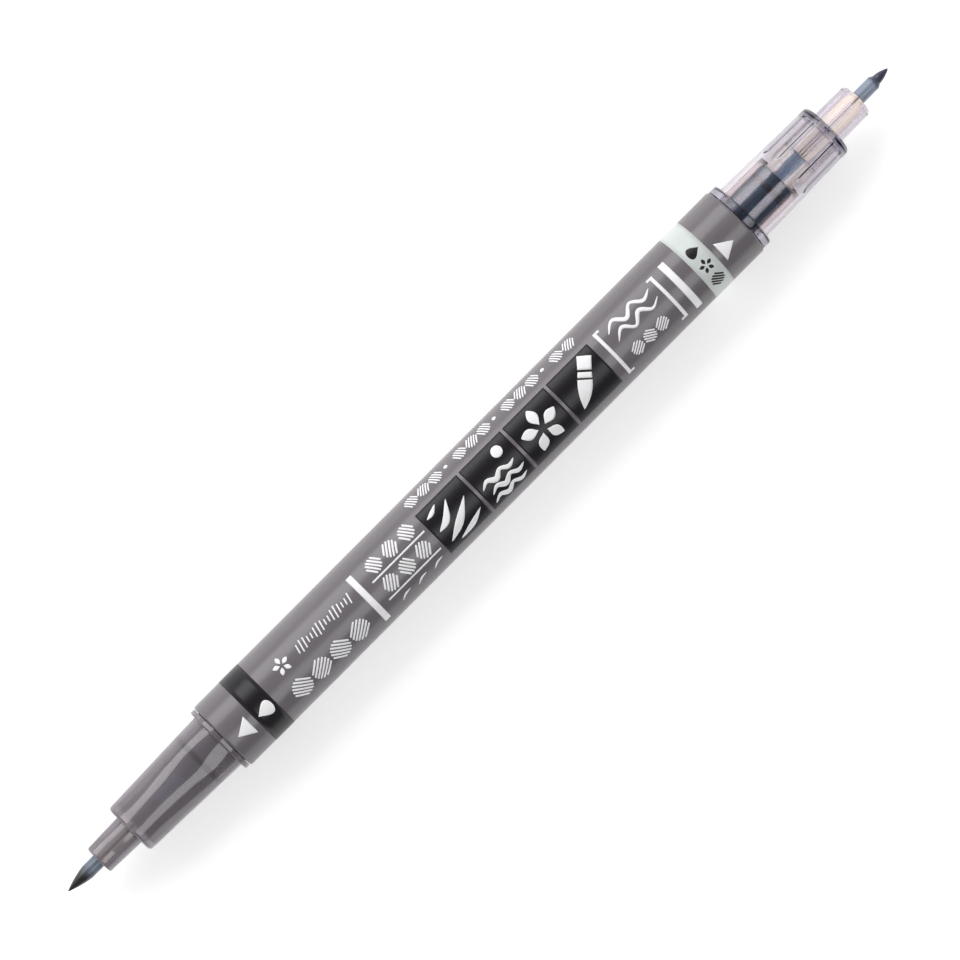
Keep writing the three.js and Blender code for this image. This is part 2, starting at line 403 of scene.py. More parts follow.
def new_material(name, **inputs):
    """A material of one Principled shader, with its sockets set: base_color is Base Color, and so on."""
    material = bpy.data.materials.new(name)
    material.use_nodes = True
    tree = material.node_tree
    tree.nodes.clear()
    shader = add(tree, "BsdfPrincipled")
    add(tree, "OutputMaterial", {"Surface": shader.outputs["BSDF"]})
    sockets = {socket.name.lower().replace(" ", "_"): socket for socket in shader.inputs}
    for key, value in inputs.items():
        sockets[key].default_value = (*value, 1) if sockets[key].type == "RGBA" else value
    return material, tree, shader


def set_stops(ramp, stops):
    """Sets a colour ramp's stops, which are (place, colour with alpha) in rising order."""
    for order, (place, shade) in enumerate(stops):
        element = ramp.elements[order] if order < 2 else ramp.elements.new(place)
        element.position, element.color = place, shade


def per_metre(millimetres):
    """A noise scale whose features are about this many millimetres across."""
    return 1 / (millimetres * MM)


def textured(
    tree, shader, colour_of, scale_mm, stretch=(1, 1, 1), spread=0.06, bump_um=2, roughness=None, detail=3.0
):
    """Varies a shader's colour, roughness and height with noise in the piece's own coordinates.

    scale_mm is the size of the grain, and stretch lengthens it along an axis. spread is how far the colour
    goes either way, roughness the (lowest, highest) value, and bump_um the height in thousandths of a mm.
    """
    where = add(tree, "TexCoord")
    mapping = add(
        tree, "Mapping", {"Vector": where.outputs["Object"], "Scale": [1 / value for value in stretch]}
    )
    grain = {"Vector": mapping.outputs["Vector"], "Scale": per_metre(scale_mm), "Detail": detail}
    noise = add(tree, "TexNoise", grain)
    darker = np.array(colour_of) * (1 - spread)
    lighter = np.minimum(np.array(colour_of) * (1 + spread), 1)
    ramp = add(tree, "ValToRGB", {"Fac": noise.outputs["Fac"]})
    set_stops(ramp.color_ramp, ((NOISE_LOW, (*darker, 1)), (NOISE_HIGH, (*lighter, 1))))
    tree.links.new(ramp.outputs["Color"], shader.inputs["Base Color"])
    height = {"Height": noise.outputs["Fac"], "Strength": 1.0, "Distance": bump_um * MM / 1000}
    bump = add(tree, "Bump", height)
    tree.links.new(bump.outputs["Normal"], shader.inputs["Normal"])
    if roughness:
        low, high = roughness
        spans = {"From Min": NOISE_LOW, "From Max": NOISE_HIGH, "To Min": low, "To Max": high}
        rough = add(tree, "MapRange", {"Value": noise.outputs["Fac"], **spans})
        tree.links.new(rough.outputs["Result"], shader.inputs["Roughness"])
    return ramp


def own_place(tree):
    """The x, y and z of a point of the piece, in its own coordinates."""
    where = add(tree, "TexCoord")
    return add(tree, "SeparateXYZ", {"Vector": where.outputs["Object"]}).outputs


def dim_colour(tree, shader, ramp, share):
    """Multiplies the ramp's colour by the share, and gives it to the shader."""
    product = {"Vector": ramp.outputs["Color"], "Scale": share}
    shade = add(tree, "VectorMath", product, operation="SCALE")
    tree.links.new(shade.outputs["Vector"], shader.inputs["Base Color"])
    return shade.outputs["Vector"]


def barrel_abs(colours):
    """Injection-moulded ABS, dyed grey: a soft gloss over a faint ripple, so highlights have soft edges."""
    material, tree, shader = new_material("moulded_grey_abs", ior=1.54)
    textured(
        tree, shader, colours.barrel, scale_mm=1.4, stretch=(3, 1, 1), spread=0.03, bump_um=3,
        roughness=(0.2, 0.27),
    )
    return material


def screen_ink(name, ink, spread):
    """Screen-printed enamel ink: dense and even, a little less glossy than the plastic.

    Its grain is drawn coarser than the mesh of a real screen, so that it shows.
    """
    material, tree, shader = new_material(name, ior=1.46, specular_ior_level=0.42)
    textured(tree, shader, ink, scale_mm=0.25, spread=spread, bump_um=1.5, roughness=(0.28, 0.36))
    return material


def smoke_styrene(colours):
    """Moulded polystyrene, dyed smoke grey: milky, so light goes in but nothing shows through clearly.

    The mould's slow waves pull the reflections of the lights out of line, and are drawn deeper than real
    ones, so that they show. A soft band of painted shade goes round the grip where the wick holder's
    flange stands behind the wall.
    """
    material, tree, shader = new_material(
        "smoke_polystyrene", ior=1.62, specular_ior_level=0.65, transmission_weight=0.6
    )
    ramp = textured(
        tree, shader, colours.smoke, scale_mm=5, stretch=(2.2, 1, 1), spread=0.1, bump_um=900,
        roughness=(0.06, 0.16), detail=0.5,
    )
    # Painted shade round the wick holder's flange: the base colour is dimmed near its x.
    middle, full, gone = HOLDER_SHADE
    beside = add(tree, "Math", {0: own_place(tree)["X"], 1: -middle}, operation="ADD")
    aside = add(tree, "Math", {0: beside.outputs["Value"]}, operation="ABSOLUTE")
    spans = {"From Min": full, "From Max": gone, "To Min": HOLDER_SHADE_LEFT, "To Max": 1.0}
    painted_holder_shade = add(
        tree, "MapRange", {"Value": aside.outputs["Value"], **spans}, interpolation_type="SMOOTHSTEP"
    )
    dim_colour(tree, shader, ramp, painted_holder_shade.outputs["Result"])
    return material


def clear_styrene(name, tint, roughness, absorbed, ends=None):
    """Polished clear polystyrene: sharp reflections, and bent edges where the wall is thick.

    absorbed is the share of red, green and blue lost in a metre of plastic, as the logarithm's rate. It is
    what darkens the rims and shoulders, where the light runs a long way through the plastic. ends are
    (from, to, tint) stretches of x in rising order, where the plastic lies across the view; their darker
    tints are painted shade, laid into the base colour.
    """
    material, tree, shader = new_material(
        name, base_color=tint, roughness=roughness, ior=1.52, transmission_weight=1.0
    )
    if ends:
        low, high = ends[0][0] - MM, ends[-1][1] + MM
        along = add(tree, "MapRange", {"Value": own_place(tree)["X"], "From Min": low, "From Max": high})
        ramp = add(tree, "ValToRGB", {"Fac": along.outputs["Result"]})
        stops = [(low, tint)]
        for start, stop, shade in ends:
            stops += [(start - BAND_FADE, tint), (start, shade), (stop, shade), (stop + BAND_FADE, tint)]
        stops.append((high, tint))
        set_stops(ramp.color_ramp, [((x - low) / (high - low), (*shade, 1)) for x, shade in stops])
        tree.links.new(ramp.outputs["Color"], shader.inputs["Base Color"])
    rate = max(absorbed)
    shade = [1 - value / rate for value in absorbed]
    volume = add(tree, "VolumeAbsorption", {"Color": (*shade, 1), "Density": rate})
    tree.links.new(volume.outputs["Volume"], tree.nodes["Material Output"].inputs["Volume"])
    return material


def divider_pp(colours):
    """Undyed moulded polypropylene: waxy, and barely translucent."""
    material, tree, shader = new_material("natural_polypropylene", roughness=0.45, subsurface_weight=0.1)
    shader.inputs["Subsurface Scale"].default_value = MM
    textured(tree, shader, colours.divider, scale_mm=0.6, spread=0.03, bump_um=3)
    return material


def soaked_fibre(name, ink, grain_mm, spread, glow=0.0):
    """Polyester fibres bonded side by side and soaked in ink: dark, with fine lines along the bundle.

    A fibre is about 0.02 mm thick, and the lines are drawn coarser than that, so that they show. glow is a
    little emission that stands in for the light which the clear plastic gathers round the fibres.
    """
    material, tree, shader = new_material(name, roughness=0.55, sheen_weight=0.1, emission_strength=glow)
    ramp = textured(tree, shader, ink, scale_mm=grain_mm, stretch=(30, 1, 1), spread=spread, bump_um=12)
    tree.links.new(ramp.outputs["Color"], shader.inputs["Emission Color"])
    return material


def wrap_film(colours):
    """Polypropylene film, tight round the inked fibres: dark from the ink behind it, with a glossy face.

    A narrow ring of painted shade near its outer end is where the film is welded to the fibres.
    """
    material, tree, shader = new_material(
        "polypropylene_film", roughness=0.22, specular_ior_level=0.75, specular_tint=(0.55, 0.7, 1.0)
    )
    ramp = textured(tree, shader, colours.film, scale_mm=0.5, stretch=(12, 1, 1), spread=0.25, bump_um=6)
    out = add(tree, "Math", {0: own_place(tree)["X"]}, operation="ABSOLUTE")
    # Painted shade in a narrow ring at the weld.
    weld_shade = add(tree, "Math", {0: out.outputs["Value"], 1: WELD[0], 2: WELD[1]}, operation="COMPARE")
    left = add(tree, "Math", {0: weld_shade.outputs["Value"], 1: -WELD_PAINTED_SHADE, 2: 1.0}, operation="MULTIPLY_ADD")
    dim_colour(tree, shader, ramp, left.outputs["Value"])
    return material


def nib_elastomer(colours, name):
    """Elastic nib stock: pale inside the nose, blue-grey where ink wets it, and black towards the point.

    The colour follows the piece's own length, so it stays in place when the nib bends. Ink creeps back by
    different lengths, which makes the change of colour ragged, and it stays in the stem's slots, which are
    darker. The light that soaks into the pale stem from all sides comes out again: a little emission, set
    by the ramp's alpha, stands in for it.
    """
    material, tree, shader = new_material(name, roughness=0.34, coat_weight=0.6, coat_roughness=0.12)
    surface = add(tree, "UVMap", uv_map="surface")
    mapping = add(tree, "Mapping", {"Vector": surface.outputs["UV"], "Scale": STREAKS})
    streaks = add(tree, "TexNoise", {"Vector": mapping.outputs["Vector"], "Scale": 1.0, "Detail": 2.0})
    place = add(tree, "SeparateXYZ", {"Vector": surface.outputs["UV"]})
    creep = {0: streaks.outputs["Fac"], 1: STREAK_REACH, 2: place.outputs["Y"]}
    ragged = add(tree, "Math", creep, operation="MULTIPLY_ADD")
    ramp = add(tree, "ValToRGB", {"Fac": ragged.outputs["Value"]})
    turns = add(tree, "Math", {0: place.outputs["X"], 1: INK_SLOTS}, operation="MULTIPLY")
    beside = add(tree, "Math", {0: turns.outputs["Value"], 1: 0.5}, operation="PINGPONG")
    slot = add(tree, "Math", {0: beside.outputs["Value"], 1: SLOT_SHARE}, operation="LESS_THAN")
    inked = add(tree, "Math", {0: slot.outputs["Value"], 1: ramp.outputs["Alpha"]}, operation="MULTIPLY")
    left = add(tree, "Math", {0: inked.outputs["Value"], 1: -SLOT_DIMS, 2: 1.0}, operation="MULTIPLY_ADD")
    shade = dim_colour(tree, shader, ramp, left.outputs["Value"])
    tree.links.new(shade, shader.inputs["Emission Color"])
    tree.links.new(ramp.outputs["Alpha"], shader.inputs["Emission Strength"])
    furrows = {"Height": streaks.outputs["Fac"], "Strength": 1.0, "Distance": 0.008 * MM}
    bump = add(tree, "Bump", furrows)
    tree.links.new(bump.outputs["Normal"], shader.inputs["Normal"])
    return material, ramp.color_ramp


# ------------------------------------------------------------------ printed ink


def through(knots, steps):
    """A smooth curve through given knots (Catmull-Rom), with closer steps near its two ends."""
    knots = np.asarray(knots, float)
    padded = np.concatenate([2 * knots[:1] - knots[1:2], knots, 2 * knots[-1:] - knots[-2:-1]])
    t = (1 - np.cos(np.linspace(0, np.pi, steps))) / 2 * (len(knots) - 1)
    k = np.minimum(t.astype(int), len(knots) - 2)
    f = (t - k)[:, None]
    a, b, c, d = (padded[k + n] for n in range(4))
    return 0.5 * (2 * b + (c - a) * f + (2 * a - 5 * b + 4 * c - d) * f**2 + (3 * b - a - 3 * c + d) * f**3)


def round_ended(path, width):
    """The width narrowed by a half-circle at both ends of the path."""
    run = np.concatenate([[0], np.cumsum(np.linalg.norm(np.diff(path, axis=0), axis=1))])
    near = np.minimum(run, run[-1] - run)
    cap = np.minimum(width.max() / 2, run[-1] / 2)
    share = np.clip(near / cap, 0, 1)
    return width * np.sqrt(1 - (1 - share) ** 2)


class Label:
    """One colour of ink on the barrel, as slabs that follow its surface.

    A place on the label is (x, s) in millimetres: x along the pen, and s round the barrel from the line on
    top, towards -Y. The place (x, s) at height h lies at (x, -(R + h) sin(s / R), (R + h) cos(s / R)).
    """

    THINNEST = 0.02  # mm, the least width of ink, which keeps each slab's faces whole
    FACET = 0.3  # mm, the longest step of a slab round the barrel
    HEIGHT_STEP, HEIGHTS = 0.01, 16
    ROUNDING_STEPS = 8  # more, for a bar with round ends
    HATCH_REACH = 0.72  # of a lozenge's half-size, to its outermost bars
    TICK_MEAN, TICK_SWELL, TICK_WAVE, TICK_LEAN = 0.72, 0.28, 1.3, 0.25

    def __init__(self, barrel_radius, height, sunk):
        self.radius = barrel_radius
        self.height, self.sunk = height, sunk
        self.points, self.faces, self.count = [], [], 0

    def lay(self, path, width):
        """Adds a slab along a path of (x, s) places: a ribbon of the given width, closed all round."""
        path = np.asarray(path, float)
        width = np.maximum(np.broadcast_to(width, len(path)), self.THINNEST)
        normal = unit(np.gradient(path, axis=0))[:, ::-1] * (-1, 1)
        across = max(2, math.ceil(width.max() / self.FACET) + 1)
        share = np.linspace(-0.5, 0.5, across)[None, :, None]
        flat = path[:, None] + normal[:, None] * width[:, None, None] * share
        # Slabs that cross each other differ a little in height, so that no two faces lie in one surface.
        top = self.height * (1 + self.HEIGHT_STEP * (len(self.points) % self.HEIGHTS))
        flat = np.concatenate([flat, flat[:, ::-1]], axis=1) * MM
        height = np.repeat([top, -self.sunk], across)
        angle = flat[..., 1] / self.radius
        out = self.radius + height
        points = np.stack([flat[..., 0], -out * np.sin(angle), out * np.cos(angle)], axis=-1)

        rows, columns = flat.shape[:2]
        i = np.arange(rows - 1)[:, None]
        j = np.arange(columns)[None, :]
        index = np.stack(np.broadcast_arrays(i, i, i + 1, i + 1), -1) * columns
        index = index + np.stack(np.broadcast_arrays(j, j + 1, j + 1, j), -1) % columns
        k = np.arange(across - 1)
        cap = np.column_stack([k, columns - 1 - k, columns - 2 - k, k + 1])
        faces = np.concatenate([index.reshape(-1, 4), cap, cap[:, ::-1] + (rows - 1) * columns])
        self.faces.append(faces + self.count)
        self.points.append(points.reshape(-1, 3))
        self.count += rows * columns

    def bar(self, start, end, width, rounded=False):
        """A straight bar between two places."""
        start, end = np.asarray(start, float), np.asarray(end, float)
        steps = max(2, math.ceil(np.linalg.norm(end - start) / self.FACET) + 1)
        share = np.linspace(0, 1, steps)
        if rounded:
            share = (1 - np.cos(np.linspace(0, np.pi, steps + self.ROUNDING_STEPS))) / 2
        path = start + (end - start) * share[:, None]
        wide = np.full(len(path), float(width))
        self.lay(path, round_ended(path, wide) if rounded else wide)

    def stroke(self, knots, widths, steps=44):
        """A brush stroke: a curve through its knots, swelling and thinning from one knot to the next."""
        path = through(knots, steps)
        swell = np.clip(through([[w, 0] for w in widths], steps)[:, 0], self.THINNEST, None)
        self.lay(path, round_ended(path, swell))

    def wedge(self, tip, base, width):
        """A triangle from its tip to the middle of its base."""
        path = np.linspace(tip, base, 9)
        self.lay(path, np.linspace(0, width, 9))

    def disc(self, middle, radius):
        """A filled circle: the half-width at the angle a along its diameter is the radius times sin a."""
        a = np.linspace(0, np.pi, 20)
        path = np.column_stack([middle[0] - radius * np.cos(a), np.full(len(a), middle[1])])
        self.lay(path, 2 * radius * np.sin(a))

    def drop(self, middle, size, way):
        """A filled ink drop with its point towards way along x.

        At the angle a along its length its width is 1.24 sin a ((1 - cos a) / 2)^0.8 times its size.
        """
        a = np.linspace(0, np.pi, 28)
        path = np.column_stack([middle[0] + way * size * np.cos(a) / 2, np.full(len(a), middle[1])])
        self.lay(path, 1.24 * size * np.sin(a) * ((1 - np.cos(a)) / 2) ** 0.8)

    def hatched(self, middle, size, bars, slant, width):
        """A lozenge of slanting bars: each bar is shorter the further it lies from the middle."""
        way = np.array([math.cos(slant), math.sin(slant)])
        side = np.array([-way[1], way[0]])
        for offset in np.linspace(-1, 1, bars) * self.HATCH_REACH:
            half = way * size / 2 * math.sqrt(1 - offset**2)
            centre = np.asarray(middle) + side * offset * size / 2
            self.bar(centre - half, centre + half, width, rounded=True)

    def ticks(self, start, stop, s, height, pitch, width):
        """A row of slanting ticks whose height swells and falls as a sine along it."""
        count = int((stop - start) / pitch)
        for order in range(count + 1):
            half = height / 2 * (self.TICK_MEAN + self.TICK_SWELL * math.sin(order * self.TICK_WAVE))
            x, lean = start + order * pitch, self.TICK_LEAN * half
            self.bar((x - lean, s + half), (x + lean, s - half), width, rounded=True)

    def finish(self, name, material):
        """Makes all the slabs one piece, which stays with the barrel."""
        points = np.concatenate(self.points)
        faces = np.concatenate(self.faces)
        uv = points[faces][..., :2] / MM
        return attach(add_mesh(name, points, [faces], [uv], material), "root")


# ------------------------------------------------------------------ the label's layout, in millimetres

BARS_FROM, BARS_TO = -3.15, 5.28  # the two tall bars, round the barrel
PANEL_START, SQUARE, SQUARE_GAP, PANEL_TOP = -9.66, 7.53, 0.44, -2.55
BLACK_BAND = (-42.6, -39.2)
PALE_BAND = (38.25, 41.55)
ARROW_TIPS, ARROW_LENGTH, ARROW_WIDTH, ARROW_MIDDLE = (-45.8, 44.7), 2.3, 3.0, 1.53
LEFT_BLOCK = -35.35  # the middle of its first sign
TOP_ROW = -4.8


def square_middle(order):
    """The middle of one of the panel's four squares."""
    return np.array([PANEL_START + SQUARE / 2 + order * (SQUARE + SQUARE_GAP), PANEL_TOP + SQUARE / 2])


def print_flower(ink, middle, size):
    """Five petals round an open centre."""
    widths = np.array((0.03, 0.24, 0.09)) * size
    for petal in np.radians([-90, -18, 54, 126, 198]):
        way = np.array([math.cos(petal), math.sin(petal)]) * size
        ink.stroke([middle + way * out for out in (0.1, 0.3, 0.5)], widths, steps=30)


def print_lozenges(ink, start, pitch, count, size, bars, slants, width):
    """A row of hatched lozenges, whose bars take the two slants in turn."""
    for order in range(count):
        slant = math.radians(slants[order % 2])
        ink.hatched((start[0] + pitch * order, start[1]), size, bars, slant, width)


def print_ripple(ink, start, run, height, widths):
    """One wave of water: three crests that a brush draws in one stroke."""
    places = np.linspace(0, 1, 6)
    swing = np.array((0.4, -0.6, 0.5, -0.6, 0.4, -0.2)) * height
    ink.stroke(np.asarray(start) + np.column_stack([places * run, swing]), widths, steps=70)


def print_arrows(ink):
    """A triangle by each end points to its nib."""
    for x in ARROW_TIPS:
        base = x - math.copysign(ARROW_LENGTH, x)
        ink.wedge((x, ARROW_MIDDLE), (base, ARROW_MIDDLE), ARROW_WIDTH)


def print_bars(ink):
    """The two tall bars, and the two brackets, that divide the label."""
    for x, width in ((-21.33, 0.91), (35.8, 1.0)):
        ink.bar((x, BARS_FROM), (x, BARS_TO), width)
    top, bottom, thick, foot, foot_thick = -2.84, 4.82, 0.5, 0.8, 0.34
    for x, way in ((23.3, 1), (33.65, -1)):
        ink.bar((x, top), (x, bottom), thick)
        for s in (top + foot_thick / 2, bottom - foot_thick / 2):
            ink.bar((x + way * thick / 2, s), (x + way * foot, s), foot_thick)


def print_left_block(ink):
    """A small flower and a row of slanting ticks, and four hatched lozenges under them."""
    print_flower(ink, np.array([LEFT_BLOCK, -1.05]), 2.6)
    ink.ticks(-32.4, -22.8, -1.05, 1.75, 0.62, 0.2)
    print_lozenges(ink, (LEFT_BLOCK, 3.05), 3.45, 4, 3.1, 6, (40, -40), 0.27)


def print_ruled_block(ink):
    """Two rules with a row of lozenges above each, and a row of thin leaves below."""
    left, right = -19.6, -10.15
    for s in (-0.24, 2.97):
        ink.bar((left, s), (right, s), 0.24)
    for s, slant in ((-1.85, 55), (1.42, -55)):
        print_lozenges(ink, (left + 1.75, s), 2.95, 3, 2.4, 5, (slant, -slant), 0.27)
    for x in (-18.3, -15.4, -12.5):
        ink.stroke([(x, 4.75), (x + 0.8, 4.2), (x + 1.8, 4.05)], (0.1, 0.3, 0.08), steps=24)


def print_top_row(ink):
    """A row of small hatched lozenges above the panel, with a dot after every third one."""
    for order in range(14):
        x = -8.6 + 2.21 * order
        if order % 4 == 3:
            ink.disc((x - 0.3, TOP_ROW), 0.3)
        else:
            ink.hatched((x, TOP_ROW), 2.15, 5, math.radians((62, 118)[order % 2]), 0.2)


def print_strokes(ink):
    """Practice strokes in the panel's first three squares: leaves, ripples under a moon, and a flower."""
    leaves = (
        ([(-2.9, 0.1), (-1.2, -0.5), (0.6, -2.5)], (0.2, 0.95, 0.1)),
        ([(-2.6, 2.3), (-0.2, 1.0), (2.6, -1.1)], (0.2, 1.15, 0.1)),
        ([(-1.4, 3.1), (0.9, 2.6), (3.1, 1.6)], (0.2, 0.9, 0.1)),
        ([(-3.0, -2.2), (-2.0, -2.4), (-0.9, -3.0)], (0.15, 0.6, 0.1)),
    )
    for knots, widths in leaves:
        ink.stroke(np.add(knots, square_middle(0)), widths)
    ink.disc(square_middle(1) + (1.6, -2.1), 0.8)
    for shift, s in ((-0.3, 0.1), (0.3, 1.5), (-0.1, 2.8)):
        start = square_middle(1) + (shift - 2.9, s)
        print_ripple(ink, start, 5.8, 0.6, (0.15, 0.55, 0.8, 0.5, 0.6, 0.1))
    print_flower(ink, square_middle(2), 6.2)


def print_brush_sign(ink):
    """A plain brush in the panel's last square: hair, ferrule and handle on one slanting line."""
    point = square_middle(3) + (-2.35, 2.4)
    way = np.array([math.cos(math.radians(-48)), math.sin(math.radians(-48))])

    def on_brush(start, stop, steps):
        return point + way * np.linspace(start, stop, steps)[:, None]

    hair = np.linspace(0, 1, 24)
    ink.lay(on_brush(0, 3.95, 24), 2.0 * np.sin(0.55 * np.pi * hair**0.75) ** 1.2)
    ink.lay(on_brush(4.2, 4.95, 4), np.linspace(1.95, 1.85, 4))
    ink.lay(on_brush(5.25, 7.1, 6), np.linspace(1.85, 1.95, 6))


def print_bracketed_block(ink):
    """Two long ripples between the brackets, and three lozenges under them."""
    print_ripple(ink, (24.6, -1.7), 7.9, 1.1, (0.15, 0.45, 0.6, 0.4, 0.5, 0.1))
    print_ripple(ink, (24.9, -0.1), 7.7, 1.1, (0.1, 0.5, 0.4, 0.6, 0.4, 0.1))
    print_lozenges(ink, (26.2, 2.75), 2.2, 3, 2.0, 5, (-35, 35), 0.22)


def print_band_signs(white, black):
    """A white ink drop on the black band, and a drop, a flower and a lozenge in black on the pale one."""
    white.drop((sum(BLACK_BAND) / 2, ARROW_MIDDLE), 2.5, -1)
    x = sum(PALE_BAND) / 2
    black.drop((x, -1.1), 1.9, 1)
    print_flower(black, np.array([x, 1.4]), 2.1)
    black.hatched((x, 4.0), 2.1, 5, math.radians(45), 0.26)


WHITE_PARTS = (
    print_arrows,
    print_bars,
    print_left_block,
    print_ruled_block,
    print_top_row,
    print_strokes,
    print_brush_sign,
    print_bracketed_block,
)


# ------------------------------------------------------------------ operators


class MARKER_OT_barrel(bpy.types.Operator):
    """Build the barrel and the plug inside it"""

    bl_idname = "marker.barrel"
    bl_label = "Barrel and divider"

    def execute(self, context):
        colours = context.scene.marker.colours
        smooth_node("barrel_moulding", "barrel", barrel_abs(colours))
        smooth_node("divider_moulding", "divider_plug", divider_pp(colours))
        return {"FINISHED"}


class MARKER_OT_label(bpy.types.Operator):
    """Print the bands, the black panel and the white and black marks on the barrel"""

    bl_idname = "marker.label"
    bl_label = "Printed label"

    def band(self, name, span, radius, height, material):
        """A band of ink all the way round: a thin rectangle carried round the axis."""
        start, stop = span[0] * MM, span[1] * MM
        low, high = radius - height, radius + height
        outline = np.array([(start, low), (start, high), (stop, high), (stop, low)])
        around = bpy.context.scene.marker.sizes.around
        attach(turned_piece(name, divided(outline, MM), True, material, around), "root")

    def execute(self, context):
        colours, sizes = context.scene.marker.colours, context.scene.marker.sizes
        radius, height = reach("barrel"), sizes.ink_height
        white_ink = screen_ink("white_screen_ink", colours.white_ink, spread=0.015)
        black_ink = screen_ink("black_screen_ink", colours.black_ink, spread=0.12)
        pale_ink = screen_ink("pale_screen_ink", colours.pale_band, spread=0.015)
        self.band("label_black_band", BLACK_BAND, radius, height, black_ink)
        self.band("label_pale_band", PALE_BAND, radius, height, pale_ink)

        panel = Label(radius, height, height)
        for order in range(4):
            x, s = square_middle(order)
            panel.bar((x - SQUARE / 2, s), (x + SQUARE / 2, s), SQUARE)
        panel.finish("label_panel", black_ink)

        white = Label(radius, height + sizes.ink_layer, height)
        black = Label(radius, height + sizes.ink_layer, height)
        for print_part in WHITE_PARTS:
            print_part(white)
        print_band_signs(white, black)
        white.finish("label_white_marks", white_ink)
        black.finish("label_black_marks", black_ink)
        return {"FINISHED"}


class MARKER_OT_sections(bpy.types.Operator):
    """Build the smoke-grey and the clear grip section"""

    bl_idname = "marker.sections"
    bl_label = "Grip sections"

    RIBS, RIB_HEIGHT, RIB_WIDTH = 10, 0.22 * MM, 0.13  # each width is an angle, in radians
    RIBS_FROM, RIBS_FADE = 56.0 * MM, 0.4 * MM
    HOLLOW_RADII = (3.0 * MM, 3.55 * MM)  # between which the hollow's wall lies
    GROOVES, GROOVE_DEPTH, GROOVE_WIDTH = 6, 0.3 * MM, 0.2
    GROOVES_FROM, GROOVES_TO = 59.6 * MM, 68.9 * MM
    BORE_REACH = 1.3 * MM  # the nose's bore is narrower than this
    RING_WIDTH, RING_DEPTH = 0.14 * MM, 0.03 * MM
    # The clear section's flange, empty hollow and front wall, in millimetres out of the barrel's mouth,
    # with painted shade.
    SHADED_STRETCHES = ((0.0, 1.3), (7.2, 15.7), (16.0, 17.0))

    def bells(self, a, count, width):
        """A bell curve of the angle a from the nearest of count lines, set evenly round the axis."""
        off = ((a * count / (2 * np.pi)) % 1 - 0.5) * 2 * np.pi / count
        return np.exp(-((off / width) ** 2))

    def ribbed(self, x, r, a):
        """Low ribs along the wall of the hollow in front of the wick's holder, and air grooves in the bore.

        Each is a bell curve round the axis, and rises and falls along it over a short fade.
        """
        hollow = (r > self.HOLLOW_RADII[0]) & (r < self.HOLLOW_RADII[1])
        along = np.clip((x - self.RIBS_FROM) / self.RIBS_FADE, 0, 1)
        ribs = hollow * along * self.RIB_HEIGHT * self.bells(a, self.RIBS, self.RIB_WIDTH)
        bore = (r < self.BORE_REACH) & (x > self.GROOVES_FROM)
        ends = np.clip(np.minimum(x - self.GROOVES_FROM, self.GROOVES_TO - x) / self.RIBS_FADE, 0, 1)
        grooves = bore * ends * self.GROOVE_DEPTH * self.bells(a, self.GROOVES, self.GROOVE_WIDTH)
        return r - ribs + grooves

    def execute(self, context):
        colours, sizes = context.scene.marker.colours, context.scene.marker.sizes
        outline, closed = meridian("black_section")
        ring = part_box("black_section")[0].x + sizes.nose_ring
        outline = softened(outline, closed, sizes.moulded_edge)
        outline = grooved(outline, ring, self.RING_WIDTH, self.RING_DEPTH)
        smoky = turned_piece("black_grip_section", outline, closed, smoke_styrene(colours), sizes.around)
        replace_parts(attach(smoky, "root"), "black_section")

        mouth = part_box("barrel")[1].x
        # Painted shade: the flange, the empty hollow and the front wall get darker tints.
        painted_shades = (colours.clear_flange_shade, colours.clear_front_shade, colours.clear_rim_shade)
        ends = [
            (mouth + start * MM, mouth + stop * MM, tint)
            for (start, stop), tint in zip(self.SHADED_STRETCHES, painted_shades)
        ]
        material = clear_styrene(
            "clear_polystyrene", colours.clear, roughness=0.02, absorbed=(100, 106, 82), ends=ends
        )
        outline, closed = meridian("grey_section")
        outline = divided(softened(outline, closed, sizes.moulded_edge), self.RIBS_FADE)
        clear = turned_piece("grey_grip_section", outline, closed, material, sizes.around, self.ribbed)
        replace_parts(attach(clear, "root"), "grey_section")
        return {"FINISHED"}


class MARKER_OT_ink_lines(bpy.types.Operator):
    """Build each end's reservoir, film, collar, wick and wick holder"""

    bl_idname = "marker.ink_lines"
    bl_label = "Ink lines"

    BUNDLE_FURROWS, ROD_FURROWS = 40, 20
    LAP_HEIGHT, LAP_WIDTH, LAP_ANGLE = 0.03 * MM, 0.09, 0.5 * math.pi - 0.5  # the angles are in radians

    def execute(self, context):
        colours, sizes = context.scene.marker.colours, context.scene.marker.sizes
        insert = clear_styrene("clear_insert", colours.insert, roughness=0.04, absorbed=(60, 70, 75))
        reservoir = soaked_fibre("ink_soaked_bundle", colours.reservoir, grain_mm=0.12, spread=0.5)
        rod = soaked_fibre("ink_soaked_rod", colours.wick, grain_mm=0.08, spread=0.25, glow=0.5)
        film = wrap_film(colours)

        def furrowed(count, depth):
            """Ridges along the piece: the radius falls by depth times (1 - cos(count a)) / 2."""
            return lambda x, r, a: r - np.where(r > 3 * depth, depth, 0) * (1 - np.cos(count * a)) / 2

        def lapped(x, r, a):
            """The film's lap: a low ridge along one line, a bell curve of the angle from it."""
            return r + self.LAP_HEIGHT * np.exp(-(((a - self.LAP_ANGLE) / self.LAP_WIDTH) ** 2))

        bundle = furrowed(self.BUNDLE_FURROWS, sizes.fibre_ridge)
        thin_rod = furrowed(self.ROD_FURROWS, sizes.fibre_ridge / 2)

        parts = (
            ("ink_reservoir", "ink_fibre", reservoir, bundle, "ink_fibre"),
            ("reservoir_wrap", "fibre_film", film, lapped, "fibre_film"),
            ("clear_collar", "fibre_collar", insert, None, "clear_insert"),
            ("wick_rod", "feed_wick", rod, thin_rod, "ink_wick"),
            ("wick_sleeve", "wick_holder", insert, None, "clear_insert"),
        )
        for end in ENDS:
            for name, node, material, shaped, slot in parts:
                smooth_node(f"{end}_{name}", f"{end}_{node}", material, shaped)
        return {"FINISHED"}


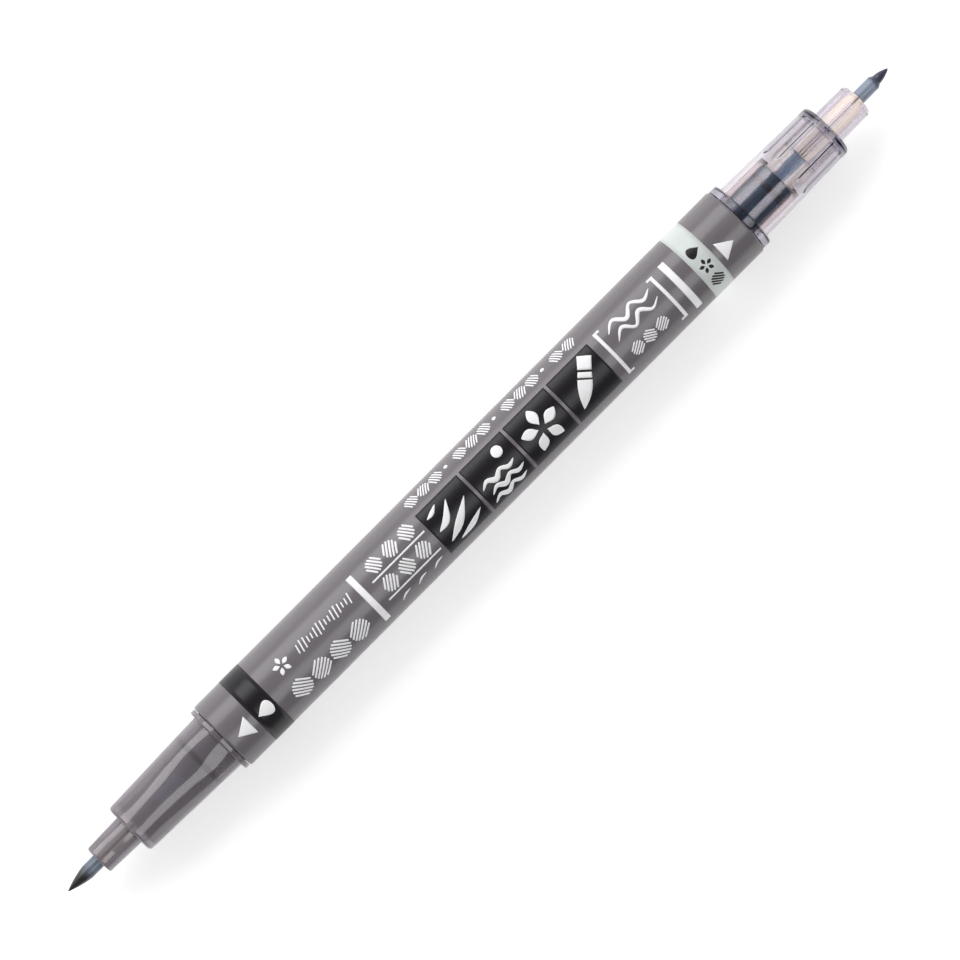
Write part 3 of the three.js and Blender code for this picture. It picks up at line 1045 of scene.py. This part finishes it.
class MARKER_OT_nibs(bpy.types.Operator):
    """Build the two flexible nibs, each in one piece from its stem to its point"""

    bl_idname = "marker.nibs"
    bl_label = "Brush nibs"

    # How far out of the nose each nib is grey until, and is black from.
    INKED = {"black": (1.3 * MM, 2.9 * MM), "grey": (2.5 * MM, 3.2 * MM)}
    DRY, WETTED = 0.5 * MM, 0.1 * MM  # how far inside the nose the stock is pale until, and grey from
    # Painted light: emission, strongest in the pale stock inside the nose and weaker in the grey base
    # outside it.
    STOCK_GLOW, BASE_GLOW = 0.6, 0.1  # see nib_elastomer
    HALF_CREEP = STREAK_REACH / 2  # puts the ragged edge's middle in its place
    STEP = 0.12 * MM  # between rows of points
    BEND = 2.2 * MM
    RIDGES = 30
    SLOT_WIDTH, SLOT_FADE = 0.07, 0.6 * MM  # the width is a share of the distance between two slots

    def outline(self, end, way, edge):
        """The stem's outline and the tip's, joined where they face each other."""
        stem, _ = meridian(f"{end}_nib_stem")
        tip, _ = meridian(f"{end}_brush_tip")
        joined = np.concatenate([stem[:-2], tip[2:]] if way > 0 else [tip[:-2], stem[2:]])
        return divided(softened(joined, False, edge), self.STEP)

    def execute(self, context):
        colours, sizes = context.scene.marker.colours, context.scene.marker.sizes
        for end, way in ENDS.items():
            outline = self.outline(end, way, sizes.moulded_edge)
            back, point = sorted(outline[[0, -1], 0], key=abs)
            mouth = sorted((box.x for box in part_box(f"{end}_nib_stem")), key=abs)[1]
            stock = reach(f"{end}_nib_stem")

            def shaped(x, r, a):
                """Fine furrows all along, and ink slots along the stem, which fade out before the mouth.

                A furrow is (1 - cos) of the angle a, and a slot is a bell curve of it.
                """
                inside = np.clip((mouth - x) * way / self.SLOT_FADE, 0, 1)
                full = np.clip(r / stock, 0, 1)
                furrow = sizes.nib_ridge * full * (1 - np.cos(self.RIDGES * a)) / 2
                aside = (a * INK_SLOTS / (2 * np.pi) + 0.5) % 1 - 0.5
                slot = sizes.ink_slot * inside * full**6 * np.exp(-((aside / self.SLOT_WIDTH) ** 2))
                return r - furrow - slot

            material, ramp = nib_elastomer(colours, f"{end}_nib_elastomer")
            nib = turned_piece(f"{end}_nib", outline, False, material, sizes.around, shaped)
            base, tip = getattr(colours, f"{end}_nib_base"), getattr(colours, f"{end}_nib_point")
            self.paint(ramp, (colours.nib_stock, base, tip), back, mouth, point, self.INKED[end])
            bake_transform(nib)
            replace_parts(nib, f"{end}_nib_stem", f"{end}_brush_tip")
        return {"FINISHED"}

    def paint(self, ramp, shades, back, mouth, point, inked):
        """Sets the ramp along the nib, which runs from its lowest x at 0 to its highest at 1."""
        low, high = min(back, point), max(back, point)
        way = math.copysign(1, point)
        stops = (
            (mouth - way * self.DRY, (*shades[0], self.STOCK_GLOW)),
            (mouth - way * self.WETTED, (*shades[1], self.BASE_GLOW)),
            (mouth + way * inked[0], (*shades[1], self.BASE_GLOW)),
            (mouth + way * inked[1], (*shades[2], 0)),
        )
        set_stops(ramp, [((x - low) / (high - low) + self.HALF_CREEP, shade) for x, shade in sorted(stops)])


class MARKER_OT_studio(bpy.types.Operator):
    """Set up the white floor, two softboxes, the soft light all round and the camera"""

    bl_idname = "marker.studio"
    bl_label = "Studio"

    FLOOR_SIZE = 6.0
    SENSOR = 36.0  # mm
    NEAREST, FURTHEST = 0.01, 20  # what the camera sees
    # Each softbox's angle from the vertical, positive towards +Y, its distance, length and width.
    KEY = (math.radians(51), 0.5, 0.6, 0.32)
    FILL = (math.radians(-30), 0.55, 0.4, 0.3)
    SIDE_FROM, SIDE_TO = 0.1, 0.9  # how far towards +Y the room turns from its dark side to its bright one
    ENDS_FROM, ENDS_TO = 0.6, 1.0  # how far along the pen's line the added light rises

    def softbox(self, name, from_vertical, distance, long, wide, power):
        """A long softbox parallel to the pen, and turned towards it."""
        light = bpy.data.lights.new(name, "AREA")
        light.shape, light.size, light.size_y, light.energy = "RECTANGLE", long, wide, power
        lamp = bpy.data.objects.new(name, light)
        bpy.context.scene.collection.objects.link(lamp)
        lamp.location = (0, distance * math.sin(from_vertical), distance * math.cos(from_vertical))
        lamp.rotation_euler = (-from_vertical, 0, 0)

    def camera(self, studio):
        """Stands over the pen's black end, looks at its middle, and rolls by the pen's slope."""
        data = bpy.data.cameras.new("camera")
        data.sensor_width = self.SENSOR
        data.lens = self.SENSOR * studio.scale * studio.camera_distance
        data.clip_start, data.clip_end = self.NEAREST, self.FURTHEST
        camera = bpy.data.objects.new("camera", data)
        bpy.context.scene.collection.objects.link(camera)
        place = Vector((studio.camera_foot, 0, studio.camera_distance))
        back = (place - Vector((*studio.camera_aim, 0))).normalized()
        along = (Vector((1, 0, 0)) - back * back.x).normalized()
        across = back.cross(along)
        turn = studio.pen_angle
        right = along * math.cos(turn) - across * math.sin(turn)
        up = along * math.sin(turn) + across * math.cos(turn)
        camera.matrix_world = Matrix.Translation(place) @ Matrix((right, up, back)).transposed().to_4x4()
        bpy.context.scene.camera = camera

    def floor(self, colour_of, height):
        """A square of white acrylic lit from below, level with the bottom of the barrel."""
        half = self.FLOOR_SIZE / 2
        corners = np.array([(x * half, y * half, height) for x, y in ((-1, -1), (1, -1), (1, 1), (-1, 1))])
        material, tree, shader = new_material("backlit_white_acrylic", roughness=0.7)
        shader.inputs["Emission Color"].default_value = (1, 1, 1, 1)
        shader.inputs["Emission Strength"].default_value = bpy.context.scene.marker.studio.floor_glow
        textured(tree, shader, colour_of, scale_mm=2, spread=0.004, bump_um=1)
        add_mesh("floor", corners, [np.array([[0, 1, 2, 3]])], [corners[:, :2] / half], material)

    def execute(self, context):
        studio = context.scene.marker.studio
        scene = context.scene
        scene.view_settings.view_transform = "Standard"
        world = bpy.data.worlds.new("soft_room")
        scene.world = world
        world.use_nodes = True
        world.node_tree.nodes.clear()
        tree = world.node_tree
        way = add(tree, "TexCoord")
        place = add(tree, "SeparateXYZ", {"Vector": way.outputs["Generated"]})
        spans = {"From Min": self.SIDE_FROM, "From Max": self.SIDE_TO}
        spans.update({"To Min": studio.dark_side, "To Max": studio.bright_side})
        light = add(tree, "MapRange", {"Value": place.outputs["Y"], **spans})
        ends = add(tree, "Math", {0: place.outputs["X"]}, operation="ABSOLUTE")
        spans = {"From Min": self.ENDS_FROM, "From Max": self.ENDS_TO}
        spans.update({"To Min": 0.0, "To Max": studio.pale_ends})
        pale = add(tree, "MapRange", {"Value": ends.outputs["Value"], **spans})
        both = add(tree, "Math", {0: light.outputs["Result"], 1: pale.outputs["Result"]}, operation="ADD")
        sky = add(tree, "Background", {"Color": (1, 1, 1, 1), "Strength": both.outputs["Value"]})
        add(tree, "OutputWorld", {"Surface": sky.outputs["Background"]})
        self.softbox("key_softbox", *self.KEY, studio.key)
        self.softbox("fill_softbox", *self.FILL, studio.fill)
        clearance = 1.5 * scene.marker.sizes.ink_height  # the printed bands stand proud of the barrel
        self.floor(studio.floor, -reach("barrel") - clearance)
        self.camera(studio)
        return {"FINISHED"}


# ------------------------------------------------------------------ panel and registration

OPERATORS = (
    MARKER_OT_barrel,
    MARKER_OT_label,
    MARKER_OT_sections,
    MARKER_OT_ink_lines,
    MARKER_OT_nibs,
    MARKER_OT_studio,
)


class MARKER_PT_panel(bpy.types.Panel):
    """The marker's steps, sizes and colours."""

    bl_idname = "MARKER_PT_panel"
    bl_label = "Calligraphy marker"
    bl_space_type = "VIEW_3D"
    bl_region_type = "UI"
    bl_category = "Marker"

    def draw(self, context):
        for operator in OPERATORS:
            self.layout.operator(operator.bl_idname)
        marker = context.scene.marker
        for group in (marker.sizes, marker.colours, marker.studio):
            box = self.layout.box()
            for name in group.__annotations__:
                box.prop(group, name)


CLASSES = (
    MARKER_PG_sizes,
    MARKER_PG_colours,
    MARKER_PG_studio,
    MARKER_PG_settings,
    *OPERATORS,
    MARKER_PT_panel,
)


def register():
    for cls in CLASSES:
        bpy.utils.register_class(cls)
    bpy.types.Scene.marker = PointerProperty(type=MARKER_PG_settings)


def unregister():
    del bpy.types.Scene.marker
    for cls in reversed(CLASSES):
        bpy.utils.unregister_class(cls)


def main():
    register()
    bpy.ops.marker.barrel()
    bpy.ops.marker.label()
    bpy.ops.marker.sections()
    bpy.ops.marker.ink_lines()
    bpy.ops.marker.nibs()
    bpy.ops.marker.studio()


if __name__ == "__main__":
    main()
